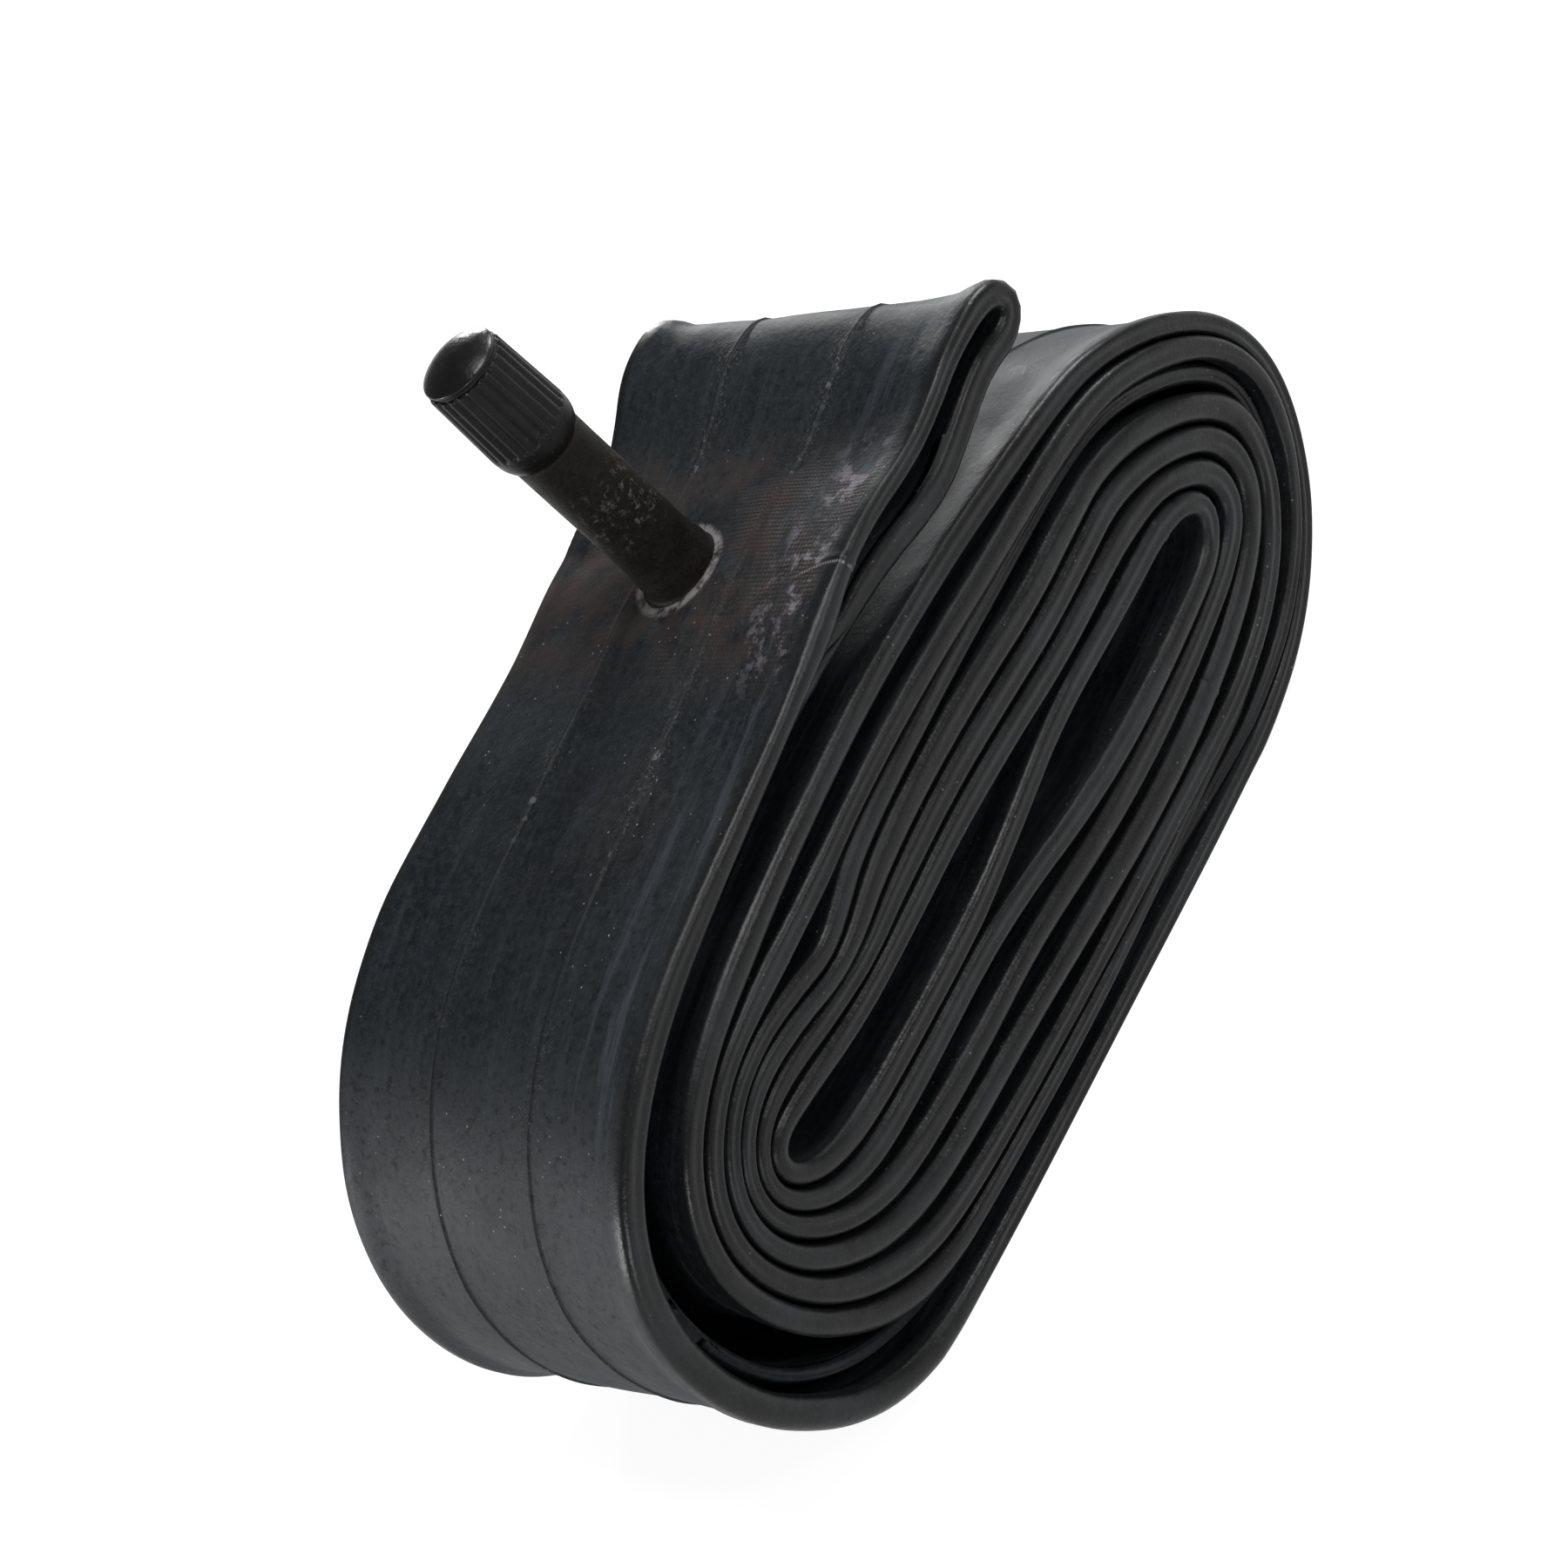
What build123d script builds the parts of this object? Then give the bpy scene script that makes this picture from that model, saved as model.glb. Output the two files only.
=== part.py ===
"""Bicycle inner tube, emptied of air, pressed flat and rolled up, with a rubber-covered car-type valve.

The flat tube is a closed ring. It is laid double and rolled from the inner fold outwards, so two arms
spiral outwards together: the inner arm and the outer arm, joined by a fold at each end of the roll.
X runs along the roll's long side, Y along the axis it is rolled about and Z up, away from the flat
underside. The origin is the middle of the rest face. Everything is in millimetres.
"""

from build123d import *
import math
import os

os.makedirs("parts", exist_ok=True)

# ---------------------------------------------------------------- tube
FLAT_WIDTH = 45.3
WALL = 0.8
FLAT_THICKNESS = 2 * WALL
# Share of the shorter run beside a corner that its arc takes up.
ARC_SHARE = 0.45

# Corners of the tube's middle line, (x, z), seen along +Y. Each wrap goes left along the bottom,
# up the left end, right along the top and down the right end.
INNER_ARM = [
    # first wrap
    (46.4, 24.2), (44.6, 27.4), (40, 28.8), (28, 28.3), (13, 28.4), (3, 26.7), (-8, 25.1), (-22, 24.6),
    (-34.5, 24.7), (-40.5, 26.2), (-43.5, 29), (-43.6, 31.8), (-41.4, 33.4), (-37.5, 33.3), (-27, 31.9),
    (-15, 32.3), (0, 33.1), (20, 32.3), (35, 33), (42.5, 31.8), (48.2, 28), (50.1, 24.2), (48.9, 20.4),
    # second wrap
    (44.5, 18.3), (38, 16.9), (30, 15.6), (20, 14.8), (8, 15.1), (-5, 16.5), (-20, 16.1), (-33, 16.5),
    (-39.5, 18.4), (-44.3, 22.1), (-47.2, 26.3), (-47.9, 30.3), (-46.6, 34.1), (-43, 37.3), (-38, 38.8),
    (-32, 38.5), (-26, 37.1), (-21, 37.4), (-15, 39), (-5, 39.9), (8, 40), (20, 39.5), (30, 40.3),
    (36.5, 40.7), (43, 38.7), (49.5, 35.2), (54.2, 31), (56.8, 26.8), (57, 22.6),
    # third wrap
    (55.8, 18.6), (53, 15.1), (49.2, 12), (44, 9.4), (38, 7.7), (30, 6.7), (0, 6.6), (-22, 7.1),
    (-33, 8), (-39.5, 9.9), (-45, 13.4), (-49.2, 18), (-51.8, 23.5), (-52.6, 28.5), (-51.8, 33),
    (-49.4, 37), (-45.5, 40.4), (-40.5, 42.8), (-33, 43.7), (-20, 44.8), (-8, 46), (5, 46.5), (20, 46.2),
    (34, 46), (43.5, 45.2), (50, 42.6), (55.9, 38.4), (60, 33.6), (62.2, 28.5), (62.4, 23.8),
    # fourth wrap, up to the loose fold
    (60.8, 19.1), (58.1, 15), (54.6, 11.1), (50.1, 8), (44.7, 5.4), (38, 3.7), (31, 2.8), (-35, 2.8),
    (-41.5, 3.8), (-47.5, 6), (-52.2, 9), (-56.2, 13.2), (-58.9, 18), (-60.3, 23.5), (-60.6, 29),
    (-59.9, 34), (-58.2, 38.3), (-55, 42.4), (-50.5, 45.9), (-45, 48.7), (-37, 51.2), (-27, 53.1),
    (-18, 54.6), (-10, 56.1), (0, 56.6), (11, 56.3), (18, 55.5), (22.5, 55.8), (28, 57.7), (33.5, 59.5),
]
LOOSE_FOLD = [(38.4, 59.3), (40.9, 61.8), (38.4, 64.6)]
OUTER_ARM = [
    # first wrap
    (43, 20.6), (36, 19.6), (20, 18.6), (8, 19.4), (-2, 21), (-12, 21.5), (-24, 20.9), (-34, 21),
    (-40.5, 22.7), (-44.3, 26.1), (-45.8, 29.7), (-44.8, 33), (-41.6, 35.4), (-36, 35.9), (-28, 34.9),
    (-21, 34.4), (-12, 35.7), (0, 36.6), (12, 36.1), (20, 35.8), (29, 36.4), (35.5, 37), (41, 35.7),
    (46, 33.7), (51, 30.2), (53.4, 26.2), (53.4, 22.2),
    # second wrap
    (51.3, 18.6), (47, 15.6), (42, 13.5), (35, 11.8), (26, 10.7), (15, 10.4), (2, 11.1), (-12, 11.7),
    (-25, 11.8), (-34, 12.5), (-40.5, 14.8), (-45, 18.2), (-48.2, 22.2), (-49.8, 26.3), (-50, 30.3),
    (-48.7, 34.3), (-45.5, 37.9), (-41.3, 40.2), (-35.5, 41), (-30, 40.2), (-24.5, 39.2), (-20, 40.6),
    (-15.5, 42.6), (-9, 43.6), (5, 43.9), (20, 43.6), (37, 43.2), (44.5, 41.7), (50, 39), (55, 35.4),
    (58.6, 31.3), (60, 27), (59.6, 22.6),
    # third wrap
    (57.7, 17.8), (54.7, 13.7), (50.3, 10.2), (44.3, 7.4), (37.5, 5.6), (30.5, 4.75), (-32, 4.75),
    (-38, 5.7), (-43, 7.8), (-47.2, 10.7), (-50.3, 14.2), (-52.8, 18.3), (-54.5, 23), (-55.3, 28),
    (-54.9, 32.4), (-52.9, 37.3), (-48.7, 41.8), (-42.5, 45), (-35, 47.2), (-25, 49), (-12, 50.6),
    (0, 51.3), (15, 51.1), (28, 50.3), (38, 49.3), (45, 47.8), (52.3, 44.1), (58.7, 38.9), (62.7, 33.5),
    (64.4, 28), (64.3, 23.2),
    # fourth wrap, up to the loose fold
    (62.7, 18.2), (59.4, 12.8), (55, 8.7), (50, 5.4), (44.2, 3), (37.5, 1.5), (30, 0.8), (-42, 0.8),
    (-47.5, 2.1), (-52.5, 4.7), (-57, 8.9), (-61, 15), (-63.2, 21.3), (-63.9, 28), (-62.9, 34.6),
    (-59.6, 40.9), (-54.7, 46), (-48.3, 50), (-40, 53), (-30, 54.9), (-19, 56.6), (-8, 58.5),
    (2.5, 61.1), (10.5, 62.1), (19, 61.5), (24.5, 62.4), (30.5, 64.1),
]

# ---------------------------------------------------------------- valve
# Foot of the valve on the tube's outer face, and how far the valve leans towards -X.
VALVE_FOOT = (5.55, 2.1, 62.3)
VALVE_LEAN = 7.2

# Heights along the valve's axis, from the tube's face.
STEM_BOTTOM = 0.1
RUBBER_TOP = 20.1
TIP_BOTTOM, STEM_TIP = 20.2, 31.2

FOOT_RADIUS = 5.3
FOOT_EMBED = 0.4
FOOT_HEIGHT = 0.3
RUBBER_ROOT_RADIUS, RUBBER_ROOT_BOTTOM = 4.35, 0.8
RUBBER_RADIUS, RUBBER_TAPER_TOP = 4.1, 3.0
RUBBER_TOP_RADIUS, RUBBER_TOP_EDGE = 3.9, 19.8

# 8V1 outside thread of a car-type valve: 7.747 mm over the crests, 32 threads to the inch.
TIP_RADIUS = 3.87
TIP_PITCH = 25.4 / 32
TIP_THREAD_DEPTH = 0.42
TIP_THREAD_START, TIP_THREAD_END = 20.9, 30.7
TIP_CHAMFER = 0.4
SHANK_RADIUS = 3.0
STEM_BORE = 1.6

# 5V1 thread of the valve core: 36 threads to the inch.
CORE_HOLE, CORE_HOLE_CHAMFER, CORE_HOLE_BOTTOM = 2.65, 0.2, 25.2
CORE_THREAD_RADIUS = 2.6
CORE_PITCH = 25.4 / 36
CORE_THREAD_DEPTH = 0.3
CORE_CHAMBER = 2.05
CHAMBER_BOTTOM, CHAMBER_TAPER_BOTTOM = 12.5, 12.0
SEAT_BOTTOM, SEAT_TOP = 22.3, 24.8
SEAT_TOP_RADIUS = 2.45

SWIVEL_BOTTOM, SWIVEL_TOP = 26.0, 30.3
SWIVEL_THREAD_BOTTOM, SWIVEL_THREAD_TOP = 26.1, 28.4
SWIVEL_BRIDGE_WIDTH = 2.0
SWIVEL_NECK_HOLE, SWIVEL_NECK_TOP = 1.6, 27.3
SWIVEL_CHAMFER = 0.3

BARREL_BOTTOM, BARREL_SHOULDER, BARREL_TOP = 18.0, 26.0, 27.0
BARREL_RADIUS, BARREL_CHAMFER = 1.85, 0.3
BARREL_NECK_RADIUS = 1.55
BARREL_BORE = 1.2
BARREL_SEAT_BORE = 0.8
BARREL_FLOOR = 1.2
SEAL_BOTTOM, SEAL_TOP = 22.4, 24.4
SEAL_GROOVE_RADIUS = 1.55
SEAL_CLEARANCE = 0.03

PIN_RADIUS = 0.45
PIN_CLEARANCE = 0.05
PIN_TOP = 30.9
PIN_COLLAR_RADIUS = 1.1
PIN_COLLAR_BOTTOM, PIN_COLLAR_TOP = 25.0, 25.4
CUP_BOTTOM, CUP_TOP = 14.6, 17.7
CUP_RADIUS = 1.5
CUP_FOOT_RADIUS, CUP_FOOT_HEIGHT = 1.1, 0.8
CUP_WALL = 0.25
CUP_SEAL_HEIGHT = 0.9
CUP_SEAL_GAP = 0.02

SPRING_WIRE = 0.125
SPRING_RADIUS = 0.9
SPRING_TURNS = 7
SPRING_GAP = 0.02

# ---------------------------------------------------------------- dust cap
CAP_BOTTOM = 20.4
CAP_COLLAR_HEIGHT = 2.3
CAP_COLLAR_RIM = 4.35
CAP_COLLAR_SHOULDER, CAP_COLLAR_SHOULDER_RADIUS = 1.1, 4.7
CAP_LOWER_RADIUS, CAP_UPPER_RADIUS = 4.8, 4.5
CAP_FLUTED_HEIGHT = 9.7
CAP_FLUTED_CHAMFER = 0.2
CAP_NECK_RADIUS = 4.05
CAP_NECK_HEIGHT = 0.45
CAP_DOME_RADIUS = 4.25
CAP_DOME_RIM = 0.35
CAP_DOME_RISE = 1.35
CAP_BORE = TIP_RADIUS + 0.06
CAP_BORE_DEPTH = 11.5
FLUTES = 24
FLUTE_RADIUS = 0.34
FLUTE_DEPTH = 0.24
FLUTE_START = 0.3

# V groove: half of its mouth as a share of the pitch, and how far it is cut beyond the crest.
GROOVE_HALF_SHARE = 0.42
GROOVE_OVERCUT = 0.1


def corner_shape(before, corner, after):
    """Unit run into a corner, unit run out of it, signed turn, and what its arc cuts from each run."""
    run_in = Vector(*corner) - Vector(*before)
    run_out = Vector(*after) - Vector(*corner)
    ahead_in, ahead_out = run_in.normalized(), run_out.normalized()
    cross = ahead_in.X * ahead_out.Y - ahead_in.Y * ahead_out.X
    turn = math.atan2(cross, ahead_in.dot(ahead_out))
    return ahead_in, ahead_out, turn, ARC_SHARE * min(run_in.length, run_out.length)


def offset_loop(corners, offset):
    """Closed wire of straight runs and tangent arcs, offset to the left of the corners' middle line."""
    tangents = []
    for i, corner in enumerate(corners):
        after = corners[(i + 1) % len(corners)]
        ahead_in, ahead_out, turn, cut = corner_shape(corners[i - 1], corner, after)
        radius = cut / math.tan(abs(turn) / 2) - math.copysign(offset, offset * turn)
        left_in = Vector(-ahead_in.Y, ahead_in.X)
        left_out = Vector(-ahead_out.Y, ahead_out.X)
        start = Vector(*corner) - ahead_in * cut + left_in * offset
        end = Vector(*corner) + ahead_out * cut + left_out * offset
        centre = start + left_in * math.copysign(radius, turn)
        middle = centre + (start + end - centre * 2).normalized() * radius
        tangents.append((start, middle, end))
    edges = []
    for i, (start, middle, end) in enumerate(tangents):
        edges.append(Line(tangents[i - 1][2], start))
        edges.append(ThreePointArc(start, middle, end))
    return Wire(edges)


def make_tube_body():
    """The flattened tube as one band along its closed, doubled and rolled middle line."""
    corners = INNER_ARM + LOOSE_FOLD + OUTER_ARM[::-1]
    faces = [make_face(offset_loop(corners, side * WALL)) for side in (1, -1)]
    faces.sort(key=lambda face: face.area)
    section = faces[1] - faces[0]
    print("tube", round(section.area / FLAT_THICKNESS), "mm round")
    band = extrude(section, FLAT_WIDTH / 2, dir=(0, 0, 1), both=True)
    return Rot(90, 0, 0) * band


def turned(profile):
    """Solid turned about Z from (radius, height) corners."""
    face = make_face(Polyline(*[(r, 0, h) for r, h in profile], close=True))
    return revolve(face, Axis.Z)


def ring(outer, inner, bottom, top):
    """Plain round collar."""
    return turned([(inner, bottom), (outer, bottom), (outer, top), (inner, top)])


def thread_grooves(radius, depth, pitch, bottom, top):
    """V grooves round a shaft, standing in for a thread of the same pitch."""
    grooves = []
    count = int((top - bottom) / pitch)
    for i in range(count):
        height = bottom + (i + 0.5) * pitch
        half = pitch * GROOVE_HALF_SHARE
        half += GROOVE_OVERCUT * half / depth
        mouth = radius + GROOVE_OVERCUT
        grooves.append(turned([(mouth, height - half), (mouth, height + half), (radius - depth, height)]))
    return grooves


def make_valve_rubber():
    """Rubber sleeve of the stem with its round foot, vulcanised to the tube."""
    return turned([
        (STEM_BORE, -FOOT_EMBED), (FOOT_RADIUS, -FOOT_EMBED), (FOOT_RADIUS, FOOT_HEIGHT),
        (RUBBER_ROOT_RADIUS, RUBBER_ROOT_BOTTOM), (RUBBER_RADIUS, RUBBER_TAPER_TOP),
        (RUBBER_RADIUS, RUBBER_TOP_EDGE), (RUBBER_TOP_RADIUS, RUBBER_TOP), (SHANK_RADIUS, RUBBER_TOP),
        (SHANK_RADIUS, STEM_BOTTOM), (STEM_BORE, STEM_BOTTOM),
    ])


def make_valve_stem():
    """Brass stem: shank inside the rubber, threaded tip, stepped bore with the core's tapered seat."""
    stem = turned([
        (STEM_BORE, STEM_BOTTOM), (SHANK_RADIUS, STEM_BOTTOM), (SHANK_RADIUS, RUBBER_TOP),
        (TIP_RADIUS, TIP_BOTTOM), (TIP_RADIUS, STEM_TIP - TIP_CHAMFER), (TIP_RADIUS - TIP_CHAMFER, STEM_TIP),
        (CORE_HOLE + CORE_HOLE_CHAMFER, STEM_TIP), (CORE_HOLE, STEM_TIP - CORE_HOLE_CHAMFER),
        (CORE_HOLE, CORE_HOLE_BOTTOM), (SEAT_TOP_RADIUS, SEAT_TOP), (CORE_CHAMBER, SEAT_BOTTOM),
        (CORE_CHAMBER, CHAMBER_BOTTOM), (STEM_BORE, CHAMBER_TAPER_BOTTOM),
    ])
    for groove in thread_grooves(TIP_RADIUS, TIP_THREAD_DEPTH, TIP_PITCH, TIP_THREAD_START, TIP_THREAD_END):
        stem -= groove
    return stem


def make_core_swivel():
    """Threaded head of the valve core, with a bridge for the core key and a hole for the pin."""
    hole = PIN_RADIUS + PIN_CLEARANCE
    body = turned([
        (hole, SWIVEL_NECK_TOP), (SWIVEL_NECK_HOLE, SWIVEL_NECK_TOP), (SWIVEL_NECK_HOLE, SWIVEL_BOTTOM),
        (CORE_THREAD_RADIUS, SWIVEL_BOTTOM), (CORE_THREAD_RADIUS, SWIVEL_TOP - SWIVEL_CHAMFER),
        (CORE_THREAD_RADIUS - SWIVEL_CHAMFER, SWIVEL_TOP), (hole, SWIVEL_TOP),
    ])
    for groove in thread_grooves(CORE_THREAD_RADIUS, CORE_THREAD_DEPTH, CORE_PITCH,
                                 SWIVEL_THREAD_BOTTOM, SWIVEL_THREAD_TOP):
        body -= groove
    width = 2 * CORE_THREAD_RADIUS
    beside_bridge = Box(width, width, width, align=(Align.CENTER, Align.MIN, Align.MIN))
    for turn in (0, 180):
        body -= Rot(0, 0, turn) * Pos(0, SWIVEL_BRIDGE_WIDTH / 2, SWIVEL_THREAD_TOP) * beside_bridge
    return body


def make_core_barrel():
    """Barrel of the core: neck in the swivel, groove for the seal, floor that carries the spring."""
    return turned([
        (BARREL_SEAT_BORE, BARREL_BOTTOM), (BARREL_RADIUS - BARREL_CHAMFER, BARREL_BOTTOM),
        (BARREL_RADIUS, BARREL_BOTTOM + BARREL_CHAMFER), (BARREL_RADIUS, SEAL_BOTTOM),
        (SEAL_GROOVE_RADIUS, SEAL_BOTTOM), (SEAL_GROOVE_RADIUS, SEAL_TOP), (BARREL_RADIUS, SEAL_TOP),
        (BARREL_RADIUS, BARREL_SHOULDER), (BARREL_NECK_RADIUS, BARREL_SHOULDER),
        (BARREL_NECK_RADIUS, BARREL_TOP), (BARREL_BORE, BARREL_TOP),
        (BARREL_BORE, BARREL_BOTTOM + BARREL_FLOOR), (BARREL_SEAT_BORE, BARREL_BOTTOM + BARREL_FLOOR),
    ])


def seat_radius(height):
    """Radius of the stem's tapered seat at a height."""
    slope = (SEAT_TOP_RADIUS - CORE_CHAMBER) / (SEAT_TOP - SEAT_BOTTOM)
    return CORE_CHAMBER + (height - SEAT_BOTTOM) * slope


def make_barrel_seal():
    """Tapered sealing collar round the barrel."""
    return turned([
        (SEAL_GROOVE_RADIUS, SEAL_BOTTOM), (seat_radius(SEAL_BOTTOM) - SEAL_CLEARANCE, SEAL_BOTTOM),
        (seat_radius(SEAL_TOP) - SEAL_CLEARANCE, SEAL_TOP), (SEAL_GROOVE_RADIUS, SEAL_TOP),
    ])


def make_valve_pin():
    """Pin with its collar for the spring and its foot in the cup."""
    rod = Pos(0, 0, (PIN_TOP + CUP_BOTTOM) / 2) * Cylinder(PIN_RADIUS, PIN_TOP - CUP_BOTTOM)
    collar = Pos(0, 0, (PIN_COLLAR_BOTTOM + PIN_COLLAR_TOP) / 2) * Cylinder(
        PIN_COLLAR_RADIUS, PIN_COLLAR_TOP - PIN_COLLAR_BOTTOM)
    return rod + collar


def make_plunger_cup():
    """Brass cup at the pin's foot."""
    floor = CUP_TOP - CUP_SEAL_HEIGHT
    return turned([
        (PIN_RADIUS, CUP_BOTTOM), (CUP_FOOT_RADIUS, CUP_BOTTOM), (CUP_RADIUS, CUP_BOTTOM + CUP_FOOT_HEIGHT),
        (CUP_RADIUS, CUP_TOP), (CUP_RADIUS - CUP_WALL, CUP_TOP), (CUP_RADIUS - CUP_WALL, floor),
        (PIN_RADIUS, floor),
    ])


def make_cup_seal():
    """Rubber washer in the cup, which closes the barrel's lower end."""
    return ring(CUP_RADIUS - CUP_WALL, PIN_RADIUS, CUP_TOP - CUP_SEAL_HEIGHT, BARREL_BOTTOM - CUP_SEAL_GAP)


def make_pin_spring():
    """Coil spring from the barrel's floor to the pin's collar."""
    bottom = BARREL_BOTTOM + BARREL_FLOOR + SPRING_WIRE + SPRING_GAP
    height = PIN_COLLAR_BOTTOM - SPRING_WIRE - SPRING_GAP - bottom
    path = Pos(0, 0, bottom) * Helix(height / SPRING_TURNS, height, SPRING_RADIUS)
    start = Plane(origin=path @ 0, z_dir=path % 0)
    return sweep(start * Circle(SPRING_WIRE), path=path, is_frenet=True)


def make_dust_cap():
    """Plastic cap: chamfered collar, fluted grip, narrow neck and domed top."""
    fluted_bottom = CAP_BOTTOM + CAP_COLLAR_HEIGHT
    fluted_top = fluted_bottom + CAP_FLUTED_HEIGHT
    dome_base = fluted_top + CAP_NECK_HEIGHT + CAP_DOME_RIM
    outline = Polyline(
        (0, 0, CAP_BOTTOM), (CAP_COLLAR_RIM, 0, CAP_BOTTOM),
        (CAP_COLLAR_SHOULDER_RADIUS, 0, CAP_BOTTOM + CAP_COLLAR_SHOULDER),
        (CAP_LOWER_RADIUS, 0, fluted_bottom), (CAP_UPPER_RADIUS, 0, fluted_top - CAP_FLUTED_CHAMFER),
        (CAP_UPPER_RADIUS - CAP_FLUTED_CHAMFER, 0, fluted_top), (CAP_NECK_RADIUS, 0, fluted_top),
        (CAP_NECK_RADIUS, 0, fluted_top + CAP_NECK_HEIGHT),
        (CAP_DOME_RADIUS, 0, fluted_top + CAP_NECK_HEIGHT), (CAP_DOME_RADIUS, 0, dome_base),
    )
    dome_radius = (CAP_DOME_RADIUS**2 + CAP_DOME_RISE**2) / (2 * CAP_DOME_RISE)
    centre = dome_base + CAP_DOME_RISE - dome_radius
    half = math.asin(CAP_DOME_RADIUS / dome_radius) / 2
    dome = ThreePointArc((CAP_DOME_RADIUS, 0, dome_base),
                         (dome_radius * math.sin(half), 0, centre + dome_radius * math.cos(half)),
                         (0, 0, dome_base + CAP_DOME_RISE))
    axis = Line((0, 0, dome_base + CAP_DOME_RISE), (0, 0, CAP_BOTTOM))
    cap = revolve(make_face(Wire([*outline.edges(), dome, axis])), Axis.Z)

    cap -= Pos(0, 0, CAP_BOTTOM + CAP_BORE_DEPTH / 2) * Cylinder(CAP_BORE, CAP_BORE_DEPTH)
    lean = math.degrees(math.atan((CAP_LOWER_RADIUS - CAP_UPPER_RADIUS) / CAP_FLUTED_HEIGHT))
    flute = Cylinder(FLUTE_RADIUS, CAP_FLUTED_HEIGHT, align=(Align.CENTER, Align.CENTER, Align.MIN))
    reach = CAP_LOWER_RADIUS + FLUTE_RADIUS - FLUTE_DEPTH
    flute = Pos(reach, 0, fluted_bottom + FLUTE_START) * Rot(0, -lean, 0) * flute
    for i in range(FLUTES):
        cap -= Rot(0, 0, 360 / FLUTES * i) * flute
    return cap


def on_tube(piece):
    """Piece of the valve moved from its own axis to its place on the tube."""
    return Pos(*VALVE_FOOT) * Rot(0, -VALVE_LEAN, 0) * piece


nodes = {
    "tube_body": make_tube_body(),
    "valve_rubber": on_tube(make_valve_rubber()),
    "valve_stem": on_tube(make_valve_stem()),
    "core_swivel": on_tube(make_core_swivel()),
    "core_barrel": on_tube(make_core_barrel()),
    "barrel_seal": on_tube(make_barrel_seal()),
    "valve_pin": on_tube(make_valve_pin()),
    "plunger_cup": on_tube(make_plunger_cup()),
    "cup_seal": on_tube(make_cup_seal()),
    "pin_spring": on_tube(make_pin_spring()),
    "dust_cap": on_tube(make_dust_cap()),
}
for name, solid in nodes.items():
    export_step(solid, f"parts/{name}.step")
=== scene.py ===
"""Looks of a rolled bicycle inner tube: butyl rubber, a rubber-covered car-type valve and its dust cap."""

import math

import bmesh
import bpy
import numpy as np
from mathutils import Matrix, Vector, noise


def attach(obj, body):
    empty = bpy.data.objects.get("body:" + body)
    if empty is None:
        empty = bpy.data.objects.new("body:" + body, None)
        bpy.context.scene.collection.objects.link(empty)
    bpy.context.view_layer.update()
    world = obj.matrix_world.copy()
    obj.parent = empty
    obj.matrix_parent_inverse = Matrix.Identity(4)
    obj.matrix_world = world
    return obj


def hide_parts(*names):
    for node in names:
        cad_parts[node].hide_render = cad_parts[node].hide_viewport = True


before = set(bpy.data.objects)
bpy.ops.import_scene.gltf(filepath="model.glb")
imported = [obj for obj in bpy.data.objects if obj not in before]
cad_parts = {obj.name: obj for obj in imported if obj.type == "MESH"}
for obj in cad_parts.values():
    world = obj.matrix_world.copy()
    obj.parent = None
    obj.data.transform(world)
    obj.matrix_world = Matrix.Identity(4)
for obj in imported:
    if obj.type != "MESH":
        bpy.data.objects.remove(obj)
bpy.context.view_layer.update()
MM = 0.001

# ------------------------------------------------------------------ camera
CAMERA_PLACE = Vector((-147.6, -244.45, 225.4)) * MM
CAMERA_FORWARD = Vector((0.4246, 0.7174, -0.5523))
CAMERA_UP = Vector((0.7759, 0.0261, 0.6303))
CAMERA_LENS = 76.0


def make_camera():
    data = bpy.data.cameras.new("camera")
    data.lens = CAMERA_LENS
    data.sensor_width = 36.0
    data.clip_start = 0.01
    data.clip_end = 20.0
    camera = bpy.data.objects.new("camera", data)
    bpy.context.scene.collection.objects.link(camera)
    forward = CAMERA_FORWARD.normalized()
    right = forward.cross(CAMERA_UP).normalized()
    up = right.cross(forward)
    turn = Matrix((right, up, -forward)).transposed().to_4x4()
    camera.matrix_world = Matrix.Translation(CAMERA_PLACE) @ turn
    bpy.context.scene.camera = camera


make_camera()

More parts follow.
